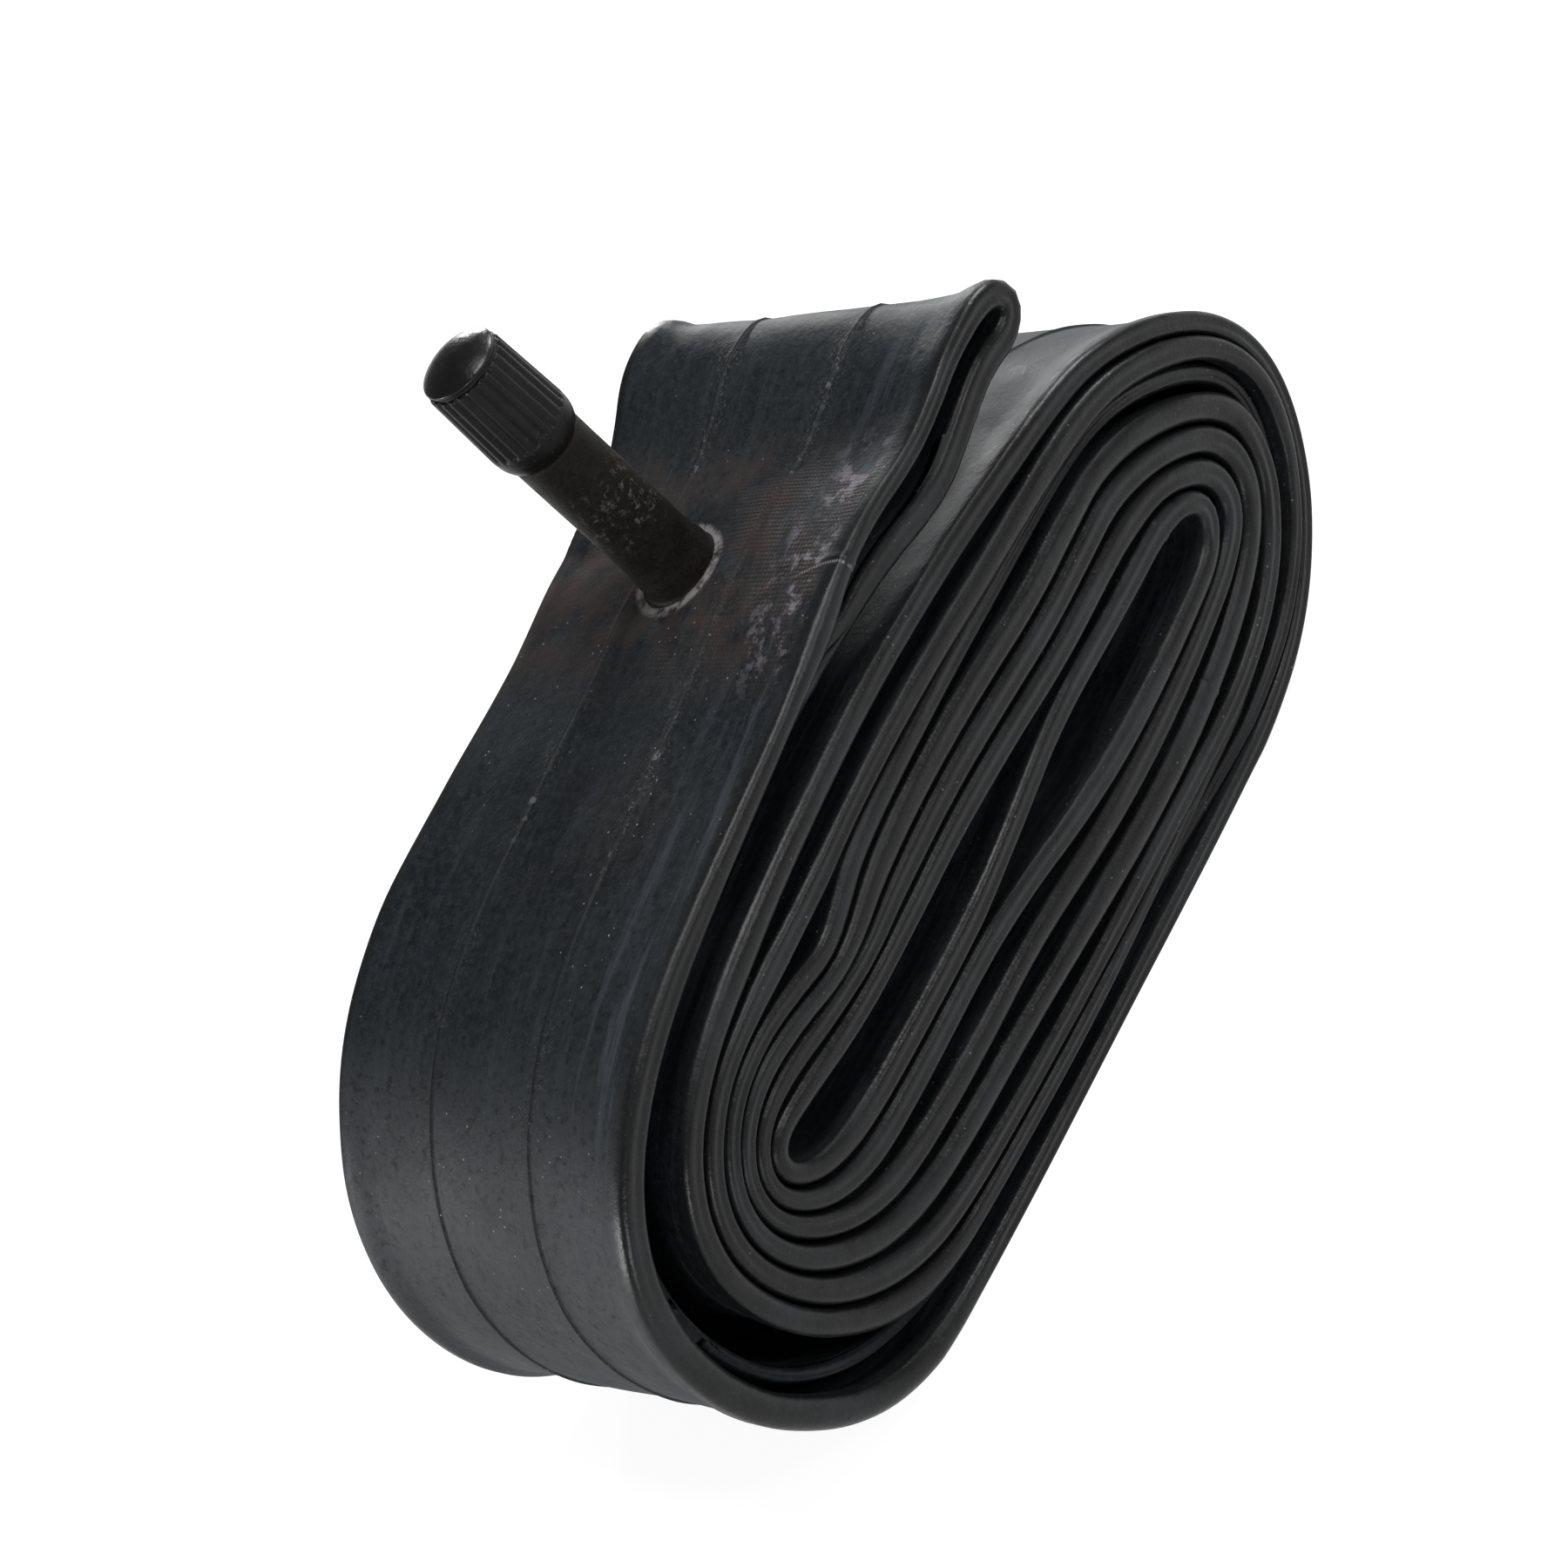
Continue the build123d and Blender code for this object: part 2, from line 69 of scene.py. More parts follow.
# ------------------------------------------------------------------ the tube's middle line, mm
# The route of the rolled tube seen along +Y, (x, z): the same corners as the CAD band's middle line.
INNER_ARM = [
    (46.4, 24.2), (44.6, 27.4), (40, 28.8), (28, 28.3), (13, 28.4), (3, 26.7), (-8, 25.1), (-22, 24.6),
    (-34.5, 24.7), (-40.5, 26.2), (-43.5, 29), (-43.6, 31.8), (-41.4, 33.4), (-37.5, 33.3), (-27, 31.9),
    (-15, 32.3), (0, 33.1), (20, 32.3), (35, 33), (42.5, 31.8), (48.2, 28), (50.1, 24.2), (48.9, 20.4),
    (44.5, 18.3), (38, 16.9), (30, 15.6), (20, 14.8), (8, 15.1), (-5, 16.5), (-20, 16.1), (-33, 16.5),
    (-39.5, 18.4), (-44.3, 22.1), (-47.2, 26.3), (-47.9, 30.3), (-46.6, 34.1), (-43, 37.3), (-38, 38.8),
    (-32, 38.5), (-26, 37.1), (-21, 37.4), (-15, 39), (-5, 39.9), (8, 40), (20, 39.5), (30, 40.3),
    (36.5, 40.7), (43, 38.7), (49.5, 35.2), (54.2, 31), (56.8, 26.8), (57, 22.6),
    (55.8, 18.6), (53, 15.1), (49.2, 12), (44, 9.4), (38, 7.7), (30, 6.7), (0, 6.6), (-22, 7.1),
    (-33, 8), (-39.5, 9.9), (-45, 13.4), (-49.2, 18), (-51.8, 23.5), (-52.6, 28.5), (-51.8, 33),
    (-49.4, 37), (-45.5, 40.4), (-40.5, 42.8), (-33, 43.7), (-20, 44.8), (-8, 46), (5, 46.5), (20, 46.2),
    (34, 46), (43.5, 45.2), (50, 42.6), (55.9, 38.4), (60, 33.6), (62.2, 28.5), (62.4, 23.8),
    (60.8, 19.1), (58.1, 15), (54.6, 11.1), (50.1, 8), (44.7, 5.4), (38, 3.7), (31, 2.8), (-35, 2.8),
    (-41.5, 3.8), (-47.5, 6), (-52.2, 9), (-56.2, 13.2), (-58.9, 18), (-60.3, 23.5), (-60.6, 29),
    (-59.9, 34), (-58.2, 38.3), (-55, 42.4), (-50.5, 45.9), (-45, 48.7), (-37, 51.2), (-27, 53.1),
    (-18, 54.6), (-10, 56.1), (0, 56.6), (11, 56.3), (18, 55.5), (22.5, 55.8), (28, 57.7), (33.5, 59.5),
]
LOOSE_FOLD = [(38.4, 59.3), (40.9, 61.8), (38.4, 64.6)]
OUTER_ARM = [
    (43, 20.6), (36, 19.6), (20, 18.6), (8, 19.4), (-2, 21), (-12, 21.5), (-24, 20.9), (-34, 21),
    (-40.5, 22.7), (-44.3, 26.1), (-45.8, 29.7), (-44.8, 33), (-41.6, 35.4), (-36, 35.9), (-28, 34.9),
    (-21, 34.4), (-12, 35.7), (0, 36.6), (12, 36.1), (20, 35.8), (29, 36.4), (35.5, 37), (41, 35.7),
    (46, 33.7), (51, 30.2), (53.4, 26.2), (53.4, 22.2),
    (51.3, 18.6), (47, 15.6), (42, 13.5), (35, 11.8), (26, 10.7), (15, 10.4), (2, 11.1), (-12, 11.7),
    (-25, 11.8), (-34, 12.5), (-40.5, 14.8), (-45, 18.2), (-48.2, 22.2), (-49.8, 26.3), (-50, 30.3),
    (-48.7, 34.3), (-45.5, 37.9), (-41.3, 40.2), (-35.5, 41), (-30, 40.2), (-24.5, 39.2), (-20, 40.6),
    (-15.5, 42.6), (-9, 43.6), (5, 43.9), (20, 43.6), (37, 43.2), (44.5, 41.7), (50, 39), (55, 35.4),
    (58.6, 31.3), (60, 27), (59.6, 22.6),
    (57.7, 17.8), (54.7, 13.7), (50.3, 10.2), (44.3, 7.4), (37.5, 5.6), (30.5, 4.75), (-32, 4.75),
    (-38, 5.7), (-43, 7.8), (-47.2, 10.7), (-50.3, 14.2), (-52.8, 18.3), (-54.5, 23), (-55.3, 28),
    (-54.9, 32.4), (-52.9, 37.3), (-48.7, 41.8), (-42.5, 45), (-35, 47.2), (-25, 49), (-12, 50.6),
    (0, 51.3), (15, 51.1), (28, 50.3), (38, 49.3), (45, 47.8), (52.3, 44.1), (58.7, 38.9), (62.7, 33.5),
    (64.4, 28), (64.3, 23.2),
    (62.7, 18.2), (59.4, 12.8), (55, 8.7), (50, 5.4), (44.2, 3), (37.5, 1.5), (30, 0.8), (-42, 0.8),
    (-47.5, 2.1), (-52.5, 4.7), (-57, 8.9), (-61, 15), (-63.2, 21.3), (-63.9, 28), (-62.9, 34.6),
    (-59.6, 40.9), (-54.7, 46), (-48.3, 50), (-40, 53), (-30, 54.9), (-19, 56.6), (-8, 58.5),
    (2.5, 61.1), (10.5, 62.1), (19, 61.5), (24.5, 62.4), (30.5, 64.1),
]
FLAT_WIDTH = 45.3
HALF_WIDTH = FLAT_WIDTH / 2
SEAM_ACROSS = FLAT_WIDTH / 6  # each mould seam's distance from the middle of the width
WALL = 0.8

# The folded edge's bead: half thickness where it is free and at most, half the slit between two beads,
# and how far it reaches across the width for each millimetre of half thickness.
FREE_BEAD = 1.4
BEAD_MOST = 1.75
SLIT = 0.05
BEAD_REACH = 0.8

# Steps along the tube: ordinary, at a crease, round the valve, and the least that is kept.
STEP = 1.0
FINE_STEP = 0.2
VALVE_STEP = 0.5
LEAST_STEP = 0.12

# Finding the next layer: the distance when there is none, the run of the same layer that is skipped,
# and how squarely the next layer has to face.
NO_NEIGHBOUR = 50.0
OWN_RUN = 5.0
FACING = 0.82

# Wear of the tube's shape, in millimetres.
EDGE_WANDER = 0.35
FAR_TRIM = 0.3
SEAM_WANDER = 0.5
SEAM_RADIUS = 0.2
SEAM_HEIGHT, SEAM_HEIGHT_CHANGE = 0.26, 0.12
GROOVE_DEPTH = 0.34
BROAD_DENT, FINE_DENT = 0.26, 0.07
CREASE_DEPTH = 0.16
VALVE_DENT, VALVE_DENT_RADIUS = 0.55, 9.5
END_STRETCH, END_START = 1.0, 44
# A paler band of painted sheen: colour that stands in for light, not a mark on the rubber.
PAINTED_SHEEN_PLACE = 72.0  # a paler band, this far from the valve both ways along the tube

VALVE_FOOT = Vector((5.55, 2.1, 62.3))
VALVE_LEAN = math.radians(7.2)
VALVE_PLACE = Matrix.Translation(VALVE_FOOT) @ Matrix.Rotation(-VALVE_LEAN, 4, "Y")


# ------------------------------------------------------------------ shared mesh code
def add_object(name, vertices, faces, smooth=True):
    """Mesh object from vertices in millimetres."""
    mesh = bpy.data.meshes.new(name)
    mesh.from_pydata([tuple(v) for v in np.asarray(vertices) * MM], [], faces)
    mesh.validate()
    mesh.update()
    if smooth:
        mesh.shade_smooth()
    piece = bpy.data.objects.new(name, mesh)
    bpy.context.scene.collection.objects.link(piece)
    return piece


def ring_faces(rows, columns, close_rows, close_columns):
    """Quads over a grid of rows and columns, numbered row by row."""
    faces = []
    for i in range(rows if close_rows else rows - 1):
        for j in range(columns if close_columns else columns - 1):
            a = i * columns + j
            b = i * columns + (j + 1) % columns
            c = (i + 1) % rows * columns + (j + 1) % columns
            d = (i + 1) % rows * columns + j
            faces.append((a, b, c, d))
    return faces


def smoothstep(x):
    x = np.clip(x, 0, 1)
    return x * x * (3 - 2 * x)


# ------------------------------------------------------------------ tube body
class Route:
    """Closed middle line of the tube, sampled along its length."""

    def __init__(self, corners):
        points = np.array(corners, float)
        after = np.roll(points, -1, 0)
        share = np.linspace(0, 1, 24, endpoint=False)[:, None]
        start = (points + np.roll(points, 1, 0)) / 2
        end = (points + after) / 2
        spans = [a * (1 - share)**2 + 2 * p * share * (1 - share) + b * share**2
                 for a, p, b in zip(start, points, end)]
        self.fine = np.vstack(spans)
        runs = np.linalg.norm(np.roll(self.fine, -1, 0) - self.fine, axis=1)
        self.fine_along = np.concatenate([[0], np.cumsum(runs)])
        self.length = self.fine_along[-1]

    def at(self, along):
        closed = np.vstack([self.fine, self.fine[:1]])
        along = np.mod(along, self.length)
        return np.column_stack([np.interp(along, self.fine_along, closed[:, k]) for k in (0, 1)])

    def nearest(self, x, z):
        distance = np.hypot(self.fine[:, 0] - x, self.fine[:, 1] - z)
        return self.fine_along[int(distance.argmin())]

    def away(self, along, place):
        """Distance along the tube from a place, signed and the short way round."""
        half = self.length / 2
        return np.mod(along - place + half, self.length) - half


route = Route(INNER_ARM + LOOSE_FOLD + OUTER_ARM[::-1])
# Where a crease crosses the near edge, (x, z).
CREASES = [(5.5, 62.0), (39.0, 28.6), (32.0, 11.4)]
valve_along = route.nearest(VALVE_FOOT.x, VALVE_FOOT.z - WALL)
fold_along = route.nearest(41.0, 61.8)
fold_side = 1 if route.away(valve_along, fold_along) > 0 else -1


def sample_places():
    """Places along the tube: even steps, and finer ones at the creases and round the valve."""
    even = np.arange(0, route.length - STEP / 2, STEP)
    fine = [route.nearest(x, z) + np.arange(-3, 3.01, FINE_STEP) for x, z in CREASES]
    fine.append(valve_along + np.arange(-8, 8.01, VALVE_STEP))
    places = np.unique(np.round(np.mod(np.concatenate([even, *fine]), route.length), 3))
    keep = np.concatenate([[True], np.diff(places) > LEAST_STEP])
    return places[keep]


def bumps(along, base, entries):
    """Value along the tube: base, changed smoothly around the places in entries (x, z, change, reach)."""
    value = np.full(len(along), float(base))
    for x, z, change, reach in entries:
        away = route.away(along, route.nearest(x, z))
        value += change * np.exp(-(away / reach)**4)
    return value


def neighbour_gap(points, along, normals):
    """Distance to the next layer on the side the normals point to, and that layer's place."""
    gap = np.full(len(points), NO_NEIGHBOUR)
    other = np.zeros(len(points), int)
    for i, point in enumerate(points):
        reach = points - point
        distance = np.hypot(reach[:, 0], reach[:, 1])
        facing = reach @ normals[i]
        apart = np.abs(route.away(along, along[i])) > OWN_RUN
        good = apart & (facing > FACING * distance)
        if good.any():
            candidates = np.where(good)[0]
            nearest = candidates[distance[candidates].argmin()]
            gap[i] = distance[nearest]
            other[i] = nearest
    return gap, other


def smoothed(value, reach=4):
    window = np.hanning(2 * reach + 3)[1:-1]
    window /= window.sum()
    padded = np.concatenate([value[-reach:], value, value[:reach]])
    return np.convolve(padded, window, "valid")


def lowest_near(value, reach=2):
    return np.min([np.roll(value, k) for k in range(-reach, reach + 1)], axis=0)


# Where an edge of the roll stands back from the others: x, z, depth, reach along the tube.
SET_BACK = [(-60.6, 27.0, 3.2, 105.0), (60.0, 27.0, 1.7, 62.0), (64.4, 26.0, 0.6, 70.0)]
# Where the free side of the bead is fatter or slimmer: x, z, change, reach.
FREE_SIDE = [(8.0, 56.4, 0.5, 40.0), (8.0, 61.9, -0.35, 30.0),
             (-63.9, 28.0, 0.3, 40.0), (-60.6, 27.0, -0.5, 90.0)]
# How the edges lean off the route: place along the tube from the loose fold's tip towards the valve,
# then the near edge's shift in x and z, and the far edge's.
LEAN = [(-60, 0, 0, 0, 0), (-30, 0, 0, -0.5, 0.3), (-12, 0.3, -0.4, -2.4, 1.6), (0, 0.9, -1.0, -4.2, 2.6),
        (10, 0.4, -0.5, -2.8, 2.6), (22, 0, 0, -0.8, 0), (34, 0, 0, 0, -2.0), (46, 0, 0, 0, -1.4),
        (60, 0, 0, 0, 0.1), (76, 0, 0, 0.2, 1.0), (88, 0, 0, 0.5, 0.3), (100, 0, 0, 1.2, -0.6),
        (112, 0, 0, 1.1, -0.8), (124, 0, 0, 0.1, -1.0), (136, 0, 0, -1.0, -1.0), (148, -0.5, 0, -1.5, -0.6),
        (160, -0.7, 0, -1.4, 0), (172, -0.4, 0, -1.0, 0), (188, 0, 0, 0, 0)]


def bead_heights(points, along, normals, set_back, free):
    """Half thickness of the folded edge towards the next layer."""
    gap, other = neighbour_gap(points, along, normals)
    lead = np.clip((set_back[other] - set_back) / 2.5, -1, 1)
    share = gap / 2 + lead * np.maximum(gap / 2 - WALL - 0.1, 0) - SLIT
    share = np.minimum(WALL + (share - WALL) * 0.9, BEAD_MOST)
    alone = smoothstep((gap - 3.9) / 1.2)
    height = share * (1 - alone) + free * alone
    return smoothed(lowest_near(np.maximum(height, WALL)))


def section_places():
    """Places across the outer face, with fine ones at the seams, and across the inner face."""
    seams = []
    for seam in (-SEAM_ACROSS, SEAM_ACROSS):
        seams += [seam + step for step in (-0.9, -0.45, -0.28, -0.14, 0, 0.14, 0.28, 0.45, 0.9)]
    common = [-HALF_WIDTH + step for step in (2.6, 3.6, 4.8, 6.2, 8.0, 10.5)]
    common += [-3.5, 0.0, 3.5]
    common += [-c for c in common[:6]]
    return sorted(common + seams), sorted(common)


def make_tube():
    along = sample_places()
    points = route.at(along)
    ahead = route.at(along + 0.4) - route.at(along - 0.4)
    ahead /= np.linalg.norm(ahead, axis=1)[:, None]
    outward = np.column_stack([-ahead[:, 1], ahead[:, 0]])
    if (outward[np.abs(route.away(along, valve_along)).argmin()] @ [0, 1]) < 0:
        outward = -outward
    set_back = bumps(along, 0, SET_BACK)
    free = bumps(along, FREE_BEAD, FREE_SIDE)
    upper = bead_heights(points, along, outward, set_back, free)
    lower = bead_heights(points, along, -outward, set_back, free)

    wander = np.array([noise.noise(Vector((a / 37.0, 3.1, 0.2))) for a in along])
    near_edge = -HALF_WIDTH + set_back + EDGE_WANDER * wander
    far_edge = HALF_WIDTH + np.minimum(0.3 * set_back, 1.0) - FAR_TRIM + EDGE_WANDER * wander[::-1]

    top_places, bottom_places = section_places()
    edge_angles = np.radians([-78, -62, -46, -32, -20, -9, 0, 9, 20, 32, 46, 62, 78])
    rows, attributes = [], {"across": [], "seam": [], "edge": []}

    def add(across, height, seam=0.0, edge=0.0):
        rows.append((across, height))
        attributes["across"].append(np.broadcast_to(across, along.shape))
        attributes["seam"].append(np.full(along.shape, seam))
        attributes["edge"].append(np.full(along.shape, edge))

    bead = (upper + lower) / 2
    middle = (upper - lower) / 2
    seam_wander = SEAM_WANDER * np.array([noise.noise(Vector((a / 60.0, 7.7, 1.2))) for a in along])
    seam_noise = np.array([noise.noise(Vector((a / 6.0, 1.7, 8.2))) for a in along])
    seam_height = SEAM_HEIGHT + SEAM_HEIGHT_CHANGE * seam_noise

    def face_height(across, half):
        """Half thickness at a place across the width: full beside the edges, thin in the middle."""
        from_edge = np.minimum(across - near_edge, far_edge - across)
        start = BEAD_REACH * bead
        fade = smoothstep((from_edge - start - 0.6) / 3.4)
        body = half * (1 - fade) + WALL * fade
        inside = np.clip(from_edge / np.maximum(start, 0.1), 0, 1)
        return body * np.sqrt(1 - (1 - inside)**2)

    def seam_ridge(across):
        ridge = 0
        for seam in (-SEAM_ACROSS, SEAM_ACROSS):
            ridge = max(ridge, math.exp(-((across - seam) / SEAM_RADIUS)**2))
        return ridge

    # A shallow groove along stretches of the near edge's nose, then the section's four parts:
    # near edge, outer face, far edge, inner face.
    groove = np.array([noise.noise(Vector((a / 45.0, 0.3, 4.4))) for a in along])
    groove = GROOVE_DEPTH * smoothstep(groove * 2.2 + 0.55) * (bead > 0.9)
    for angle in edge_angles:
        nose = near_edge + BEAD_REACH * bead * (1 - np.cos(angle)) + groove * math.exp(-(angle / 0.38)**2)
        add(nose, middle + bead * np.sin(angle), edge=1.0)
    for place in top_places:
        ridge = seam_ridge(place)
        across = place + seam_wander * math.exp(-((abs(place) - SEAM_ACROSS) / 5.0)**2)
        add(across, face_height(across, upper) + seam_height * ridge, seam=ridge)
    for angle in edge_angles[::-1]:
        add(far_edge - BEAD_REACH * bead * (1 - np.cos(angle)), middle + bead * np.sin(angle), edge=1.0)
    for place in bottom_places[::-1]:
        add(np.full(along.shape, place), -face_height(np.full(along.shape, place), lower))

    across = np.array([np.broadcast_to(r[0], along.shape) for r in rows]).T
    height = np.array([np.broadcast_to(r[1], along.shape) for r in rows]).T

    # Soft dents of the outer face, and the creases that cross the near edge.
    face = slice(len(edge_angles), len(edge_angles) + len(top_places))
    from_edge = np.minimum(across - near_edge[:, None], far_edge[:, None] - across)
    dents = np.zeros_like(height)
    for i, a in enumerate(along):
        for j in range(face.start, face.stop):
            dents[i, j] = BROAD_DENT * noise.noise(Vector((a / 24.0, across[i, j] / 10.0, 5.0)))
            dents[i, j] += FINE_DENT * noise.noise(Vector((a / 7.0, across[i, j] / 5.0, 9.0)))
    height += dents * smoothstep((from_edge - 1.5) / 3.0)
    for x, z in CREASES:
        away = route.away(along, route.nearest(x, z))[:, None]
        near = np.exp(-((across - near_edge[:, None]) / 5.0)**2)
        curve = away - 0.05 * (across - near_edge[:, None])**2
        height += np.sign(height) * CREASE_DEPTH * near * np.exp(-(curve / 0.35)**2)

    # Lean of the edges, the dent round the valve, and the right end's stretch.
    places, *leans = np.array(LEAN, float).T
    from_fold = route.away(along, fold_along) * fold_side
    near_x, near_z, far_x, far_z = [smoothed(np.interp(from_fold, places, lean))[:, None] for lean in leans]
    share = np.clip((across / FLAT_WIDTH + 0.5 - 0.06) / 0.94, 0, 1)
    share_x, share_z = share**0.7, share**1.35
    from_valve = np.hypot(route.away(along, valve_along)[:, None], across - VALVE_FOOT.y)
    height = height - VALVE_DENT * smoothstep((VALVE_DENT_RADIUS - from_valve) / 6.0) * (height > 0)
    x = points[:, :1] + outward[:, :1] * height + near_x * (1 - share_x) + far_x * share_x
    z = points[:, 1:] + outward[:, 1:] * height + near_z * (1 - share_z) + far_z * share_z
    x = x + END_STRETCH * smoothstep((x - END_START) / 18) * smoothstep((z - 6) / 30)
    z = np.maximum(z, 0.02)
    vertices = np.stack([x, across, z], axis=2).reshape(-1, 3)
    tube = add_object("tube", vertices, ring_faces(len(along), len(rows), True, True))
    values = {name: np.array(columns).T.reshape(-1) for name, columns in attributes.items()}
    values["along"] = np.repeat(route.away(along, valve_along), len(rows))
    for name, value in values.items():
        layer = tube.data.attributes.new(name, "FLOAT", "POINT")
        layer.data.foreach_set("value", value.astype(np.float32))
    return tube


tube = make_tube()
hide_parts("tube_body")
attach(tube, "tube")


# ------------------------------------------------------------------ valve and cap
def lathe(name, profile, around, shape=None):
    """Turned piece on the valve's axis from (radius, height) places; shape may change a radius."""
    vertices = []
    for radius, height in profile:
        for k in range(around):
            angle = 2 * math.pi * k / around
            r = radius if shape is None else shape(radius, height, angle)
            vertices.append(VALVE_PLACE @ Vector((r * math.cos(angle), r * math.sin(angle), height)))
    closed = profile[0][0] > 0
    piece = add_object(name, vertices, ring_faces(len(profile), around, closed, True))
    height = piece.data.attributes.new("height", "FLOAT", "POINT")
    height.data.foreach_set("value", np.repeat([h for _, h in profile], around).astype(np.float32))
    mesh = bmesh.new()
    mesh.from_mesh(piece.data)
    bmesh.ops.remove_doubles(mesh, verts=mesh.verts, dist=1e-7)
    bmesh.ops.recalc_face_normals(mesh, faces=mesh.faces)
    mesh.to_mesh(piece.data)
    mesh.free()
    piece.data.shade_smooth()
    return piece


CORNER_CUT = 0.08
CORNER_STEPS = 4


def rounded(corners):
    """Profile with each inner corner rounded by a small arc. A corner's third value is the arc's reach."""
    out = [corners[0][:2]]
    for before, corner, after in zip(corners, corners[1:], corners[2:]):
        p = np.array(corner[:2], float)
        a = np.array(before[:2], float) - p
        b = np.array(after[:2], float) - p
        size = corner[2] if len(corner) > 2 else CORNER_CUT
        cut = min(size, 0.45 * np.linalg.norm(a), 0.45 * np.linalg.norm(b))
        start = p + a / np.linalg.norm(a) * cut
        end = p + b / np.linalg.norm(b) * cut
        for t in np.linspace(0, 1, CORNER_STEPS):
            out.append(tuple(start * (1 - t)**2 + 2 * p * t * (1 - t) + end * t**2))
    out.append(corners[-1][:2])
    return out


CAP_BOTTOM = 20.4
FLUTE_BOTTOM = 22.7
FLUTE_TOP = 32.0
FLUTE_RISE = 0.6  # height over which the flutes grow to full depth
FLUTE_DEPTH = 0.28
FLUTES = 24


def flute_shape(radius, height, angle):
    """Ribs of the cap's grip: narrow round crests between wide shallow grooves."""
    if radius < 4.3 or not FLUTE_BOTTOM < height < FLUTE_TOP + 0.05:
        return radius
    fade = smoothstep((height - FLUTE_BOTTOM) / FLUTE_RISE)
    wave = 0.5 + 0.5 * math.cos(FLUTES * angle)
    return radius - FLUTE_DEPTH * fade * (1 - wave**0.55)


def make_cap():
    heights = np.concatenate([FLUTE_BOTTOM + np.linspace(0, FLUTE_RISE, 9),
                              np.linspace(23.9, FLUTE_TOP - 0.25, 8)])
    radii = np.interp(heights, [FLUTE_BOTTOM, FLUTE_TOP], [4.8, 4.5])
    outer = [(0.0, 31.7), (3.4, 31.7, 0.3), (3.93, 31.3, 0.2), (3.93, 20.8, 0.1), (4.1, CAP_BOTTOM, 0.1),
             (4.3, CAP_BOTTOM, 0.25), (4.68, 21.3, 0.5), (4.78, 22.3, 0.3)]
    outer += [(r, h) for r, h in zip(radii, heights)]
    outer += [(4.4, FLUTE_TOP, 0.12), (4.05, FLUTE_TOP, 0.1), (4.02, 32.4, 0.1), (4.26, 32.45, 0.1),
              (4.28, 32.7, 0.2)]
    profile = rounded(outer)
    rise, rim, base = 1.3, 4.2, 32.8
    sphere = (rim**2 + rise**2) / (2 * rise)
    top = math.asin(rim / sphere)
    for t in np.linspace(1, 0, 14):
        profile.append((sphere * math.sin(top * t), base + rise - sphere * (1 - math.cos(top * t))))
    return lathe("cap", profile, FLUTES * 12, flute_shape)


def make_stem_rubber():
    """Rubber sleeve with its foot sunk below the tube's surface, and a slightly uneven side."""
    def worn(radius, height, angle):
        if radius < 3.5 or height < 1.2:
            return radius
        place = Vector((math.cos(angle) * 1.3, math.sin(angle) * 1.3, height / 5.0))
        return radius + 0.035 * noise.noise(place)

    outer = [(1.6, -1.9), (5.1, -1.9, 0.05), (5.1, -1.6, 0.2), (4.55, -1.35, 0.2), (4.4, -1.0, 0.3),
             (4.35, 0.6, 0.3)]
    outer += [(4.33 - 0.23 * (h / 3.0 if h < 3 else 1), h) for h in np.linspace(1.6, 19.6, 28)]
    outer += [(4.1, 19.8, 0.1), (3.95, 20.08, 0.15), (3.0, 20.08, 0.05), (3.0, 0.1, 0.05), (1.6, 0.1, 0.05)]
    return lathe("stem_rubber", rounded(outer)[:-1] + [(1.6, 0.1)], 96, worn)


TIP_PITCH = 25.4 / 32
THREAD_BOTTOM, THREAD_TOP = 20.6, 31.0
THREAD_DEPTH = 0.42


def make_stem():
    """Brass stem with the threaded tip that carries the cap."""
    def thread(radius, height, angle):
        if radius < 3.6 or not THREAD_BOTTOM < height < THREAD_TOP:
            return radius
        turn = (height / TIP_PITCH - angle / (2 * math.pi)) % 1.0
        ends = min(1.0, (height - THREAD_BOTTOM) / 0.6, (THREAD_TOP - height) / 0.5)
        return radius - THREAD_DEPTH * ends * min(1.0, 2.2 * abs(turn - 0.5))

    outer = [(1.6, 0.1), (3.0, 0.1), (3.0, 20.1), (3.85, 20.2)]
    outer += [(3.87, h) for h in np.arange(20.4, 30.9, 0.1)]
    outer += [(3.8, 30.95), (3.5, 31.2), (2.85, 31.2), (2.65, 31.0), (2.65, 25.2), (2.45, 24.8),
              (2.05, 22.3), (2.05, 12.5), (1.6, 12.0)]
    return lathe("stem", outer, 72, thread)


cap = make_cap()
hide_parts("dust_cap")
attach(cap, "cap")
stem_rubber = make_stem_rubber()
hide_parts("valve_rubber")
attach(stem_rubber, "tube")
stem = make_stem()
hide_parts("valve_stem")
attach(stem, "tube")


